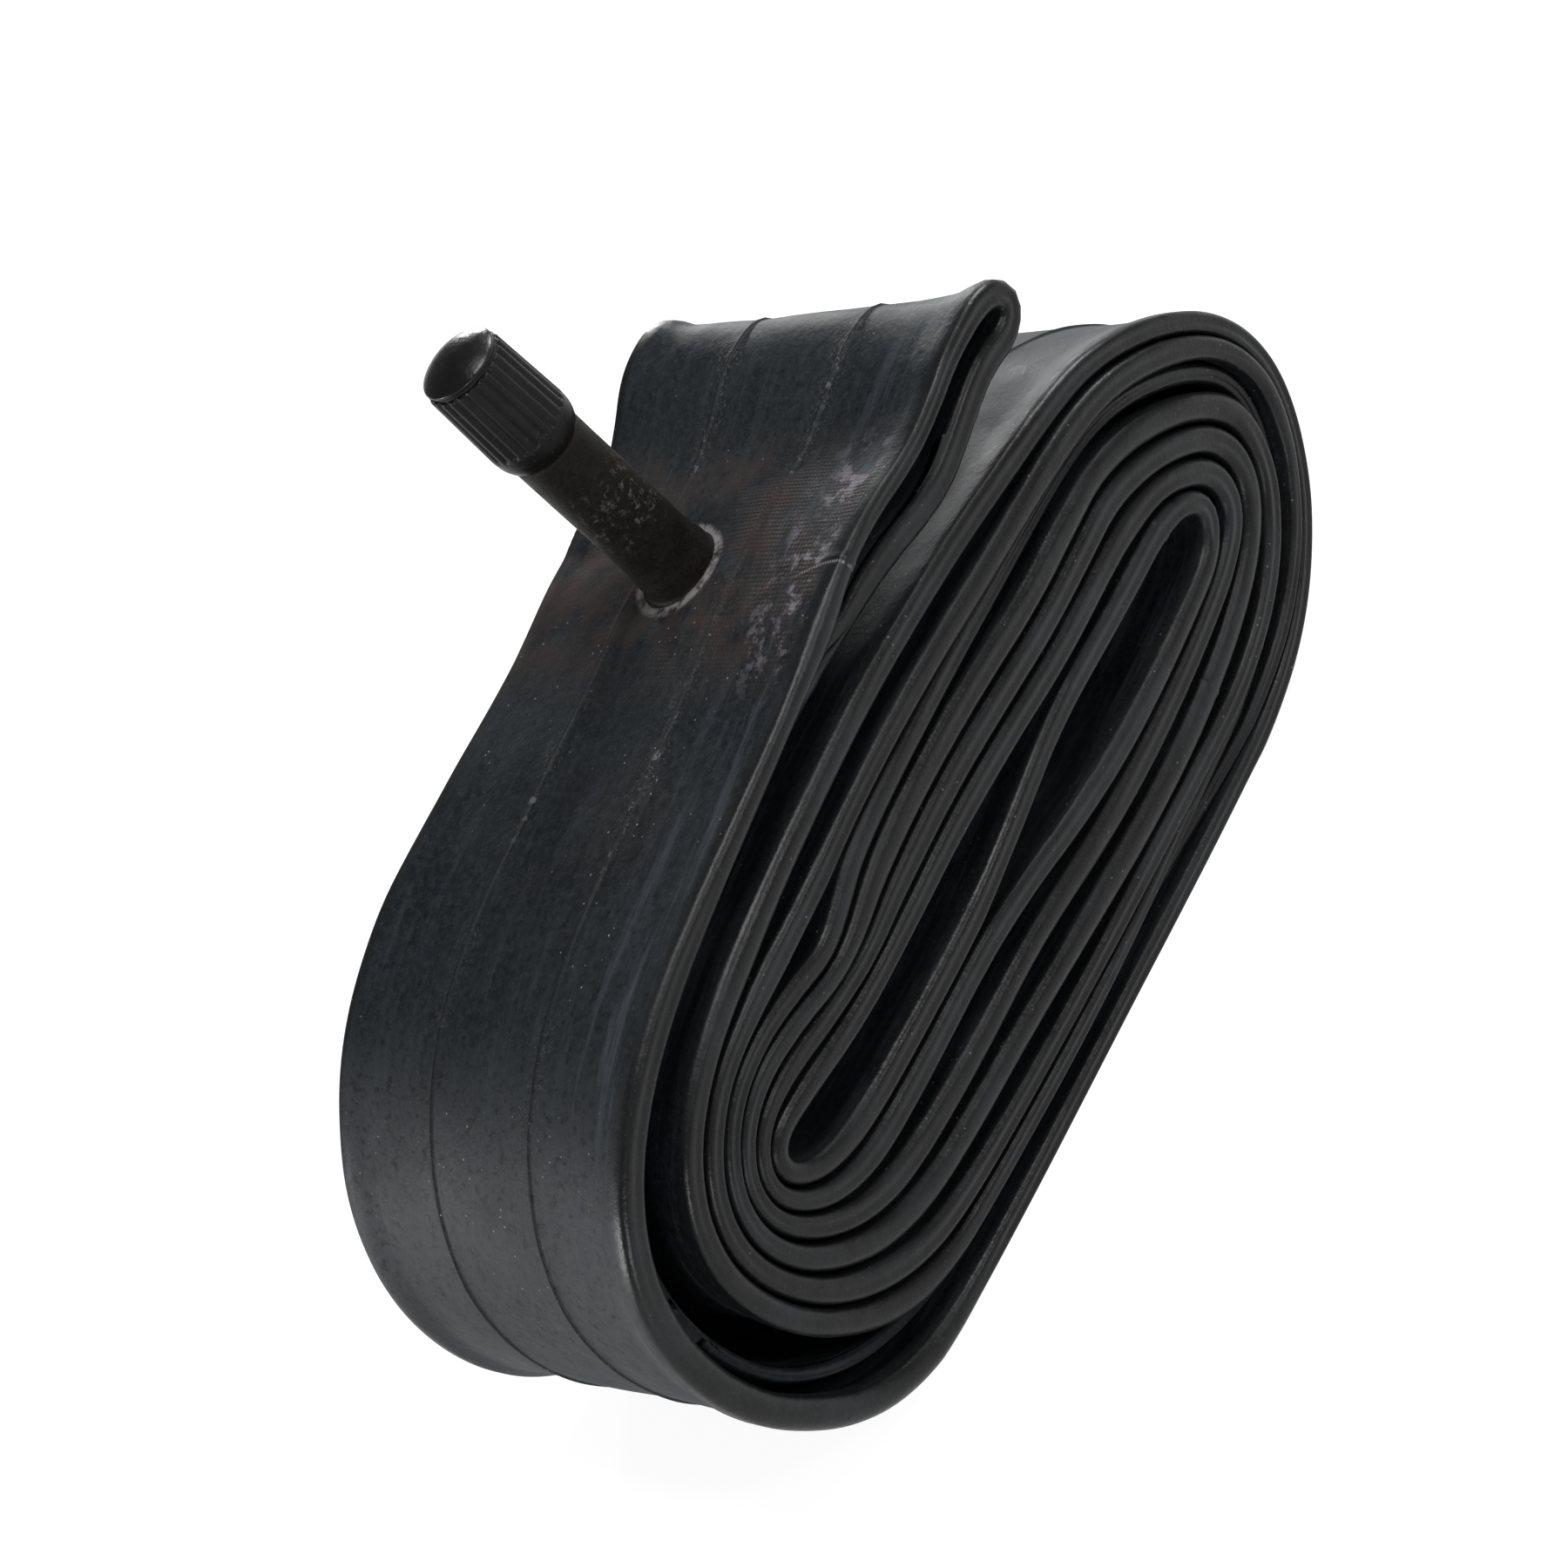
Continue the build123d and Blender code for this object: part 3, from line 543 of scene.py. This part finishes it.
# ------------------------------------------------------------------ materials
class Nodes:
    """Short names for building a node material."""

    def __init__(self, name):
        self.material = bpy.data.materials.new(name)
        self.material.use_nodes = True
        self.tree = self.material.node_tree
        self.shader = self.tree.nodes["Principled BSDF"]
        self.place = self.new("ShaderNodeTexCoord").outputs["Object"]

    def new(self, kind, **settings):
        node = self.tree.nodes.new(kind)
        for key, value in settings.items():
            setattr(node, key, value)
        return node

    def join(self, source, target):
        """Sets an input to a number or a colour, or links it to another node's output."""
        if isinstance(source, (int, float, tuple)):
            target.default_value = source
        else:
            self.tree.links.new(source, target)

    def attribute(self, name):
        return self.new("ShaderNodeAttribute", attribute_name=name).outputs["Fac"]

    def noise(self, scale, detail=4.0, roughness=0.55, vector=None):
        node = self.new("ShaderNodeTexNoise")
        node.inputs["Scale"].default_value = scale
        node.inputs["Detail"].default_value = detail
        node.inputs["Roughness"].default_value = roughness
        self.join(vector if vector is not None else self.place, node.inputs["Vector"])
        return node.outputs["Fac"]

    def specks(self, scale, size):
        """Small round specks: 1 inside, 0 outside."""
        node = self.new("ShaderNodeTexVoronoi")
        node.inputs["Scale"].default_value = scale
        self.join(self.place, node.inputs["Vector"])
        return self.ramp(node.outputs["Distance"], size, size * 0.6)

    def math(self, operation, a, b=0.0):
        node = self.new("ShaderNodeMath", operation=operation)
        self.join(a, node.inputs[0])
        self.join(b, node.inputs[1])
        return node.outputs[0]

    def ramp(self, value, low, high, out_low=0.0, out_high=1.0):
        node = self.new("ShaderNodeMapRange", interpolation_type="SMOOTHSTEP")
        self.join(value, node.inputs["Value"])
        for key, number in (("From Min", low), ("From Max", high), ("To Min", out_low), ("To Max", out_high)):
            self.join(number, node.inputs[key])
        return node.outputs["Result"]

    def vector(self, x, y, z=0.0):
        node = self.new("ShaderNodeCombineXYZ")
        for value, socket in zip((x, y, z), node.inputs):
            self.join(value, socket)
        return node.outputs[0]

    def bump(self, height, strength, distance, normal=None):
        node = self.new("ShaderNodeBump")
        node.inputs["Strength"].default_value = strength
        node.inputs["Distance"].default_value = distance
        self.join(height, node.inputs["Height"])
        if normal is not None:
            self.join(normal, node.inputs["Normal"])
        return node.outputs["Normal"]


def rgb(r, g, b):
    return (r, g, b, 1.0)


def mix_colour(n, factor, a, b):
    node = n.new("ShaderNodeMix", data_type="RGBA")
    sockets = [s for s in node.inputs if s.type == "RGBA"]
    n.join(factor, node.inputs[0])
    n.join(a, sockets[0])
    n.join(b, sockets[1])
    return [s for s in node.outputs if s.type == "RGBA"][0]


# Base colours of the tube, from its bare rubber to the marks on it; some are painted light: a sheen band,
# sheen beside the folded edge and shadow along the seams.
SLATE_DARK = rgb(0.0032, 0.0050, 0.0068)
SLATE_LIGHT = rgb(0.0064, 0.0087, 0.0108)
BROWN = rgb(0.0060, 0.0050, 0.0049)
# Painted sheen for the paler band at the tube's turns.
PAINTED_SHEEN = rgb(0.0380, 0.0410, 0.0460)
MOTTLE = rgb(0.0155, 0.0175, 0.0195)
PIT = rgb(0.0008, 0.0012, 0.0016)
EDGE = rgb(0.0035, 0.0034, 0.0034)
# Pale streaks: wear all over, and painted sheen beside the folded edge.
WEAR_AND_EDGE_SHEEN = rgb(0.032, 0.038, 0.045)
SEAM_TALC = rgb(0.052, 0.055, 0.058)
# Dark line along the seam ridges: painted shadow of the ridge.
SEAM_SHADOW = rgb(0.0012, 0.0014, 0.0016)
CHALK = rgb(0.085, 0.088, 0.092)
DUST = rgb(0.021, 0.0150, 0.0130)
LILAC = rgb(0.110, 0.102, 0.115)
HALO = rgb(0.155, 0.142, 0.145)
FLECK = rgb(0.20, 0.20, 0.20)
FINE_TALC = rgb(0.085, 0.088, 0.090)
CREASE = rgb(0.16, 0.15, 0.15)


def butyl():
    """The tube's rubber. Along and across are in millimetres, along counted from the valve."""
    n = Nodes("butyl")
    along, across = n.attribute("along"), n.attribute("across")
    edge, seam = n.attribute("edge"), n.attribute("seam")
    cloud = n.noise(45, 5)
    grain = n.noise(2600, 3)
    slate = mix_colour(n, n.ramp(cloud, 0.36, 0.66), SLATE_DARK, SLATE_LIGHT)
    brown = n.math("MULTIPLY", n.ramp(n.noise(30, 4, 0.6), 0.52, 0.66), 0.55)
    colour = mix_colour(n, brown, slate, BROWN)
    # A paler band of painted sheen this far from the valve both ways, broken up by noise.
    at_turn = n.math("ABSOLUTE", n.math("SUBTRACT", n.math("ABSOLUTE", along), PAINTED_SHEEN_PLACE))
    painted_sheen = n.math("MULTIPLY", n.ramp(at_turn, 5.0, 22.0, 1.0, 0.0),
                   n.ramp(n.noise(35, 3), 0.3, 0.7, 0.5, 0.8))
    colour = mix_colour(n, painted_sheen, colour, PAINTED_SHEEN)
    mottle = n.ramp(n.noise(1300, 5, 0.75), 0.42, 0.64, 0.0, 0.55)
    colour = mix_colour(n, mottle, colour, MOTTLE)
    pits = n.ramp(n.noise(1000, 5, 0.75), 0.34, 0.50, 0.7, 0.0)
    colour = mix_colour(n, pits, colour, PIT)
    colour = mix_colour(n, n.math("MULTIPLY", edge, 0.85), colour, EDGE)

    # Pale streaks of wear, with a painted sheen in them beside the folded edge, and rough talc along the
    # mould seams.
    streak_place = n.vector(n.math("MULTIPLY", along, 0.05), n.math("MULTIPLY", across, 0.6))
    streaks = n.ramp(n.noise(1.0, 5, 0.65, streak_place), 0.46, 0.70)
    beside_edge = n.math("MULTIPLY", n.ramp(across, -21.0, -19.5), n.ramp(across, -17.5, -10.0, 1.0, 0.0))
    wear_and_edge_sheen = n.math("MULTIPLY", n.math("ADD", n.math("MULTIPLY", beside_edge, 0.55), 0.18), streaks)
    colour = mix_colour(n, wear_and_edge_sheen, colour, WEAR_AND_EDGE_SHEEN)
    from_seam = n.math("ABSOLUTE", n.math("SUBTRACT", n.math("ABSOLUTE", across), SEAM_ACROSS))
    rough_band = n.math("MULTIPLY", n.ramp(from_seam, 0.4, 2.6, 1.0, 0.0), n.ramp(n.noise(38, 3), 0.42, 0.62))
    talc = n.math("MULTIPLY", rough_band, n.ramp(n.noise(2300, 3, 0.8), 0.52, 0.66))
    colour = mix_colour(n, n.math("MULTIPLY", talc, 0.5), colour, SEAM_TALC)
    # A dark line painted along each seam ridge: painted shadow of the ridge.
    colour = mix_colour(n, n.math("MULTIPLY", seam, 0.85), colour, SEAM_SHADOW)
    chalked = n.math("MULTIPLY", n.ramp(n.noise(33, 2), 0.48, 0.62), n.ramp(n.noise(900, 3, 0.7), 0.54, 0.62))
    dashes = n.math("MULTIPLY", n.ramp(from_seam, 0.25, 0.55, 1.0, 0.0), chalked)
    colour = mix_colour(n, n.math("MULTIPLY", dashes, 0.7), colour, CHALK)

    # Dust and the print of woven cloth round the valve, with a pale ring at its foot.
    near_valve = n.ramp(n.math("ABSOLUTE", n.math("ADD", along, 1.0)), 7.0, 19.0, 1.0, 0.0)
    near_valve = n.math("MULTIPLY", near_valve, n.ramp(across, -21.5, -19.0))
    patchy = n.ramp(n.noise(150, 6, 0.7), 0.36, 0.62)
    dust = n.math("MULTIPLY", near_valve, patchy)
    colour = mix_colour(n, n.math("MULTIPLY", dust, 0.85), colour, DUST)
    lilac = n.math("MULTIPLY", n.math("MULTIPLY", near_valve, beside_edge),
                   n.ramp(n.noise(420, 5, 0.75), 0.5, 0.62))
    colour = mix_colour(n, n.math("MULTIPLY", lilac, 0.8), colour, LILAC)
    sideways = n.math("SUBTRACT", across, VALVE_FOOT.y)
    from_valve = n.math("SQRT", n.math("ADD", n.math("POWER", along, 2.0), n.math("POWER", sideways, 2.0)))
    halo = n.ramp(n.math("ABSOLUTE", n.math("SUBTRACT", from_valve, 5.0)), 0.25, 0.95, 1.0, 0.0)
    halo = n.math("MULTIPLY", halo, n.ramp(n.noise(620, 5, 0.75), 0.36, 0.56))
    colour = mix_colour(n, n.math("MULTIPLY", halo, 0.85), colour, HALO)

    # Talc specks, from coarse flecks to a fine grain.
    flecks = n.math("MULTIPLY", n.specks(800, 0.10), n.ramp(n.noise(60, 3), 0.48, 0.62))
    flecks = n.math("MULTIPLY", flecks, n.math("SUBTRACT", 0.75, n.math("MULTIPLY", edge, 0.35)))
    colour = mix_colour(n, flecks, colour, FLECK)
    fine = n.ramp(n.noise(4200, 2, 0.8), 0.64, 0.72)
    colour = mix_colour(n, n.math("MULTIPLY", fine, 0.30), colour, FINE_TALC)

    # One curved crease that crosses the near edge beside the valve.
    into = n.math("ADD", across, HALF_WIDTH)
    bend = n.math("MULTIPLY", n.math("POWER", into, 2.0), 0.045)
    crease = n.math("ABSOLUTE", n.math("SUBTRACT", n.math("SUBTRACT", along, 0.6), bend))
    crease = n.math("MULTIPLY", n.ramp(crease, 0.06, 0.22, 1.0, 0.0), n.ramp(into, 4.5, 7.0, 1.0, 0.0))
    ticks = n.new("ShaderNodeTexWave", wave_type="BANDS", bands_direction="Y")
    ticks.inputs["Scale"].default_value = 1.1
    n.join(n.vector(0.0, across), ticks.inputs["Vector"])
    crease = n.math("MULTIPLY", crease, ticks.outputs["Fac"])
    colour = mix_colour(n, n.math("MULTIPLY", crease, 0.75), colour, CREASE)
    n.join(colour, n.shader.inputs["Base Color"])

    rough = n.ramp(cloud, 0.3, 0.7, 0.50, 0.64)
    rough = n.math("SUBTRACT", rough, n.math("MULTIPLY", edge, 0.20))
    rough = n.math("ADD", rough, n.math("MULTIPLY", dust, 0.16))
    rough = n.math("ADD", rough, n.math("MULTIPLY", streaks, 0.05))
    n.join(rough, n.shader.inputs["Roughness"])
    n.join(n.math("ADD", 0.12, n.math("MULTIPLY", edge, 0.07)), n.shader.inputs["Specular IOR Level"])

    weave_place = n.vector(along, across)
    threads = []
    for direction in ("X", "Y"):
        wave = n.new("ShaderNodeTexWave", wave_type="BANDS", bands_direction=direction)
        wave.inputs["Scale"].default_value = 0.62
        wave.inputs["Distortion"].default_value = 1.4
        wave.inputs["Detail"].default_value = 2.0
        n.join(weave_place, wave.inputs["Vector"])
        threads.append(wave.outputs["Fac"])
    printed = n.math("MULTIPLY", dust, n.ramp(across, -4.0, 1.0, 1.0, 0.0))
    weave = n.math("MULTIPLY", n.math("MULTIPLY", threads[0], threads[1]), printed)
    height = n.math("ADD", n.math("MULTIPLY", grain, 0.6), n.math("MULTIPLY", weave, 1.5))
    height = n.math("ADD", height, n.math("MULTIPLY", n.math("MULTIPLY", seam, n.noise(900, 2)), 1.8))
    height = n.math("ADD", height, n.math("MULTIPLY", n.math("ADD", talc, crease), 0.8))
    broad = n.bump(n.noise(150, 4, 0.5), 0.40, 0.0008)
    n.join(n.bump(height, 0.5, 0.00012, broad), n.shader.inputs["Normal"])
    return n.material


def stem_rubber_material():
    n = Nodes("stem_rubber")
    patches = n.ramp(n.noise(260, 6, 0.7), 0.5, 0.72)
    height = n.attribute("height")
    scuffed = n.math("MULTIPLY", n.ramp(height, 5.0, 9.0), n.ramp(height, 13.0, 16.5, 1.0, 0.0))
    fine = n.math("MULTIPLY", n.ramp(n.noise(1100, 6, 0.8), 0.53, 0.62), n.math("MULTIPLY", scuffed, 0.8))
    colour = mix_colour(n, n.math("MULTIPLY", patches, 0.6),
                        rgb(0.0022, 0.0020, 0.0018), rgb(0.010, 0.0072, 0.0058))
    colour = mix_colour(n, fine, colour, rgb(0.080, 0.068, 0.060))
    grain = n.noise(1900, 5, 0.75)
    colour = mix_colour(n, n.ramp(grain, 0.35, 0.70, 0.0, 0.5), colour, rgb(0.014, 0.011, 0.009))
    n.join(colour, n.shader.inputs["Base Color"])
    n.join(n.ramp(patches, 0, 1, 0.48, 0.75), n.shader.inputs["Roughness"])
    n.shader.inputs["Specular IOR Level"].default_value = 0.12
    n.join(n.bump(grain, 0.6, 0.00016), n.shader.inputs["Normal"])
    return n.material


def cap_material():
    n = Nodes("cap_plastic")
    dome = n.ramp(n.attribute("height"), FLUTE_TOP + 0.1, FLUTE_TOP + 0.5)
    colour = mix_colour(n, n.ramp(n.noise(400, 4), 0.4, 0.8),
                        rgb(0.0035, 0.0035, 0.0038), rgb(0.0070, 0.0068, 0.0066))
    scuffs = n.math("MULTIPLY", n.ramp(n.noise(1500, 4, 0.75), 0.60, 0.68), n.math("SUBTRACT", 1.0, dome))
    colour = mix_colour(n, n.math("MULTIPLY", scuffs, 0.35), colour, rgb(0.045, 0.045, 0.045))
    n.join(colour, n.shader.inputs["Base Color"])
    worn = n.ramp(n.noise(300, 4), 0.3, 0.7, 0.0, 0.08)
    n.join(n.math("ADD", n.ramp(dome, 0.0, 1.0, 0.34, 0.24), worn), n.shader.inputs["Roughness"])
    n.join(n.ramp(dome, 0.0, 1.0, 0.14, 0.22), n.shader.inputs["Specular IOR Level"])
    n.join(n.bump(n.noise(1500, 4, 0.7), 0.35, 0.00012), n.shader.inputs["Normal"])
    return n.material


def metal(name, light, dark, rough):
    n = Nodes(name)
    tarnish = n.ramp(n.noise(500, 5, 0.6), 0.4, 0.75)
    n.join(mix_colour(n, tarnish, light, dark), n.shader.inputs["Base Color"])
    n.shader.inputs["Metallic"].default_value = 1.0
    n.join(n.ramp(n.noise(900, 4), 0.3, 0.7, rough, rough + 0.15), n.shader.inputs["Roughness"])
    n.join(n.bump(n.noise(4000, 2), 0.1, 0.00005), n.shader.inputs["Normal"])
    return n.material


def seal_material():
    n = Nodes("seal_rubber")
    n.join(mix_colour(n, n.noise(800, 4), rgb(0.015, 0.015, 0.015), rgb(0.03, 0.03, 0.03)),
           n.shader.inputs["Base Color"])
    n.join(n.ramp(n.noise(600, 3), 0.3, 0.7, 0.5, 0.65), n.shader.inputs["Roughness"])
    n.join(n.bump(n.noise(3000, 2), 0.15, 0.00005), n.shader.inputs["Normal"])
    return n.material


def dress(piece, material):
    piece.data.materials.clear()
    piece.data.materials.append(material)


dress(tube, butyl())
dress(stem_rubber, stem_rubber_material())
dress(cap, cap_material())
brass = metal("brass", rgb(0.75, 0.58, 0.28), rgb(0.52, 0.38, 0.17), 0.22)
steel = metal("steel", rgb(0.62, 0.61, 0.58), rgb(0.42, 0.41, 0.40), 0.25)
seal = seal_material()
dress(stem, brass)
carried = {"core_swivel": brass, "core_barrel": brass, "plunger_cup": brass, "valve_pin": steel,
           "pin_spring": steel, "barrel_seal": seal, "cup_seal": seal}
for node, material in carried.items():
    for slot_index in range(len(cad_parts[node].material_slots)):
        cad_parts[node].material_slots[slot_index].material = material


# ------------------------------------------------------------------ floor and light
FLOOR_HALF = 3000
FLOOR_HEIGHT = -0.05


def make_floor():
    """Pale floor that lights itself, so that it comes out white and throws little light upwards."""
    corners = [(x * FLOOR_HALF, y * FLOOR_HALF, FLOOR_HEIGHT)
               for x, y in ((-1, -1), (1, -1), (1, 1), (-1, 1))]
    floor = add_object("floor", corners, [(0, 1, 2, 3)], smooth=False)
    material = bpy.data.materials.new("floor")
    material.use_nodes = True
    shader = material.node_tree.nodes["Principled BSDF"]
    shader.inputs["Base Color"].default_value = rgb(0.18, 0.18, 0.18)
    shader.inputs["Roughness"].default_value = 0.9
    shader.inputs["Emission Color"].default_value = rgb(1.0, 1.0, 1.0)
    shader.inputs["Emission Strength"].default_value = 0.9
    floor.data.materials.append(material)


def area_light(name, place, size, power, aim=(0.0, 0.0, 0.03)):
    data = bpy.data.lights.new(name, "AREA")
    data.shape = "RECTANGLE"
    data.size, data.size_y = size
    data.energy = power
    light = bpy.data.objects.new(name, data)
    light.location = place
    light.rotation_mode = "QUATERNION"
    light.rotation_quaternion = (Vector(aim) - Vector(place)).to_track_quat("-Z", "Y")
    bpy.context.scene.collection.objects.link(light)


def make_world(strength):
    world = bpy.data.worlds.new("studio")
    bpy.context.scene.world = world
    world.use_nodes = True
    background = world.node_tree.nodes["Background"]
    background.inputs["Color"].default_value = rgb(1.0, 1.0, 1.0)
    background.inputs["Strength"].default_value = strength


WORLD_STRENGTH = 0.16

make_floor()
make_world(WORLD_STRENGTH)
bpy.context.scene.view_settings.view_transform = "Standard"
area_light("back", (0.74, 0.76, 0.22), (0.25, 0.12), 4.8)
area_light("left", (-0.95, 0.75, 0.26), (0.3, 0.2), 9.0)
area_light("right", (0.8, 0.0, 0.65), (0.3, 0.3), 9.0)
area_light("top", (0.1, -0.3, 0.95), (0.35, 0.35), 7.5)
area_light("front", (0.2, -0.95, 0.6), (0.3, 0.25), 3.6)
area_light("side", (-0.85, -0.68, 0.22), (0.12, 0.3), 3.4)
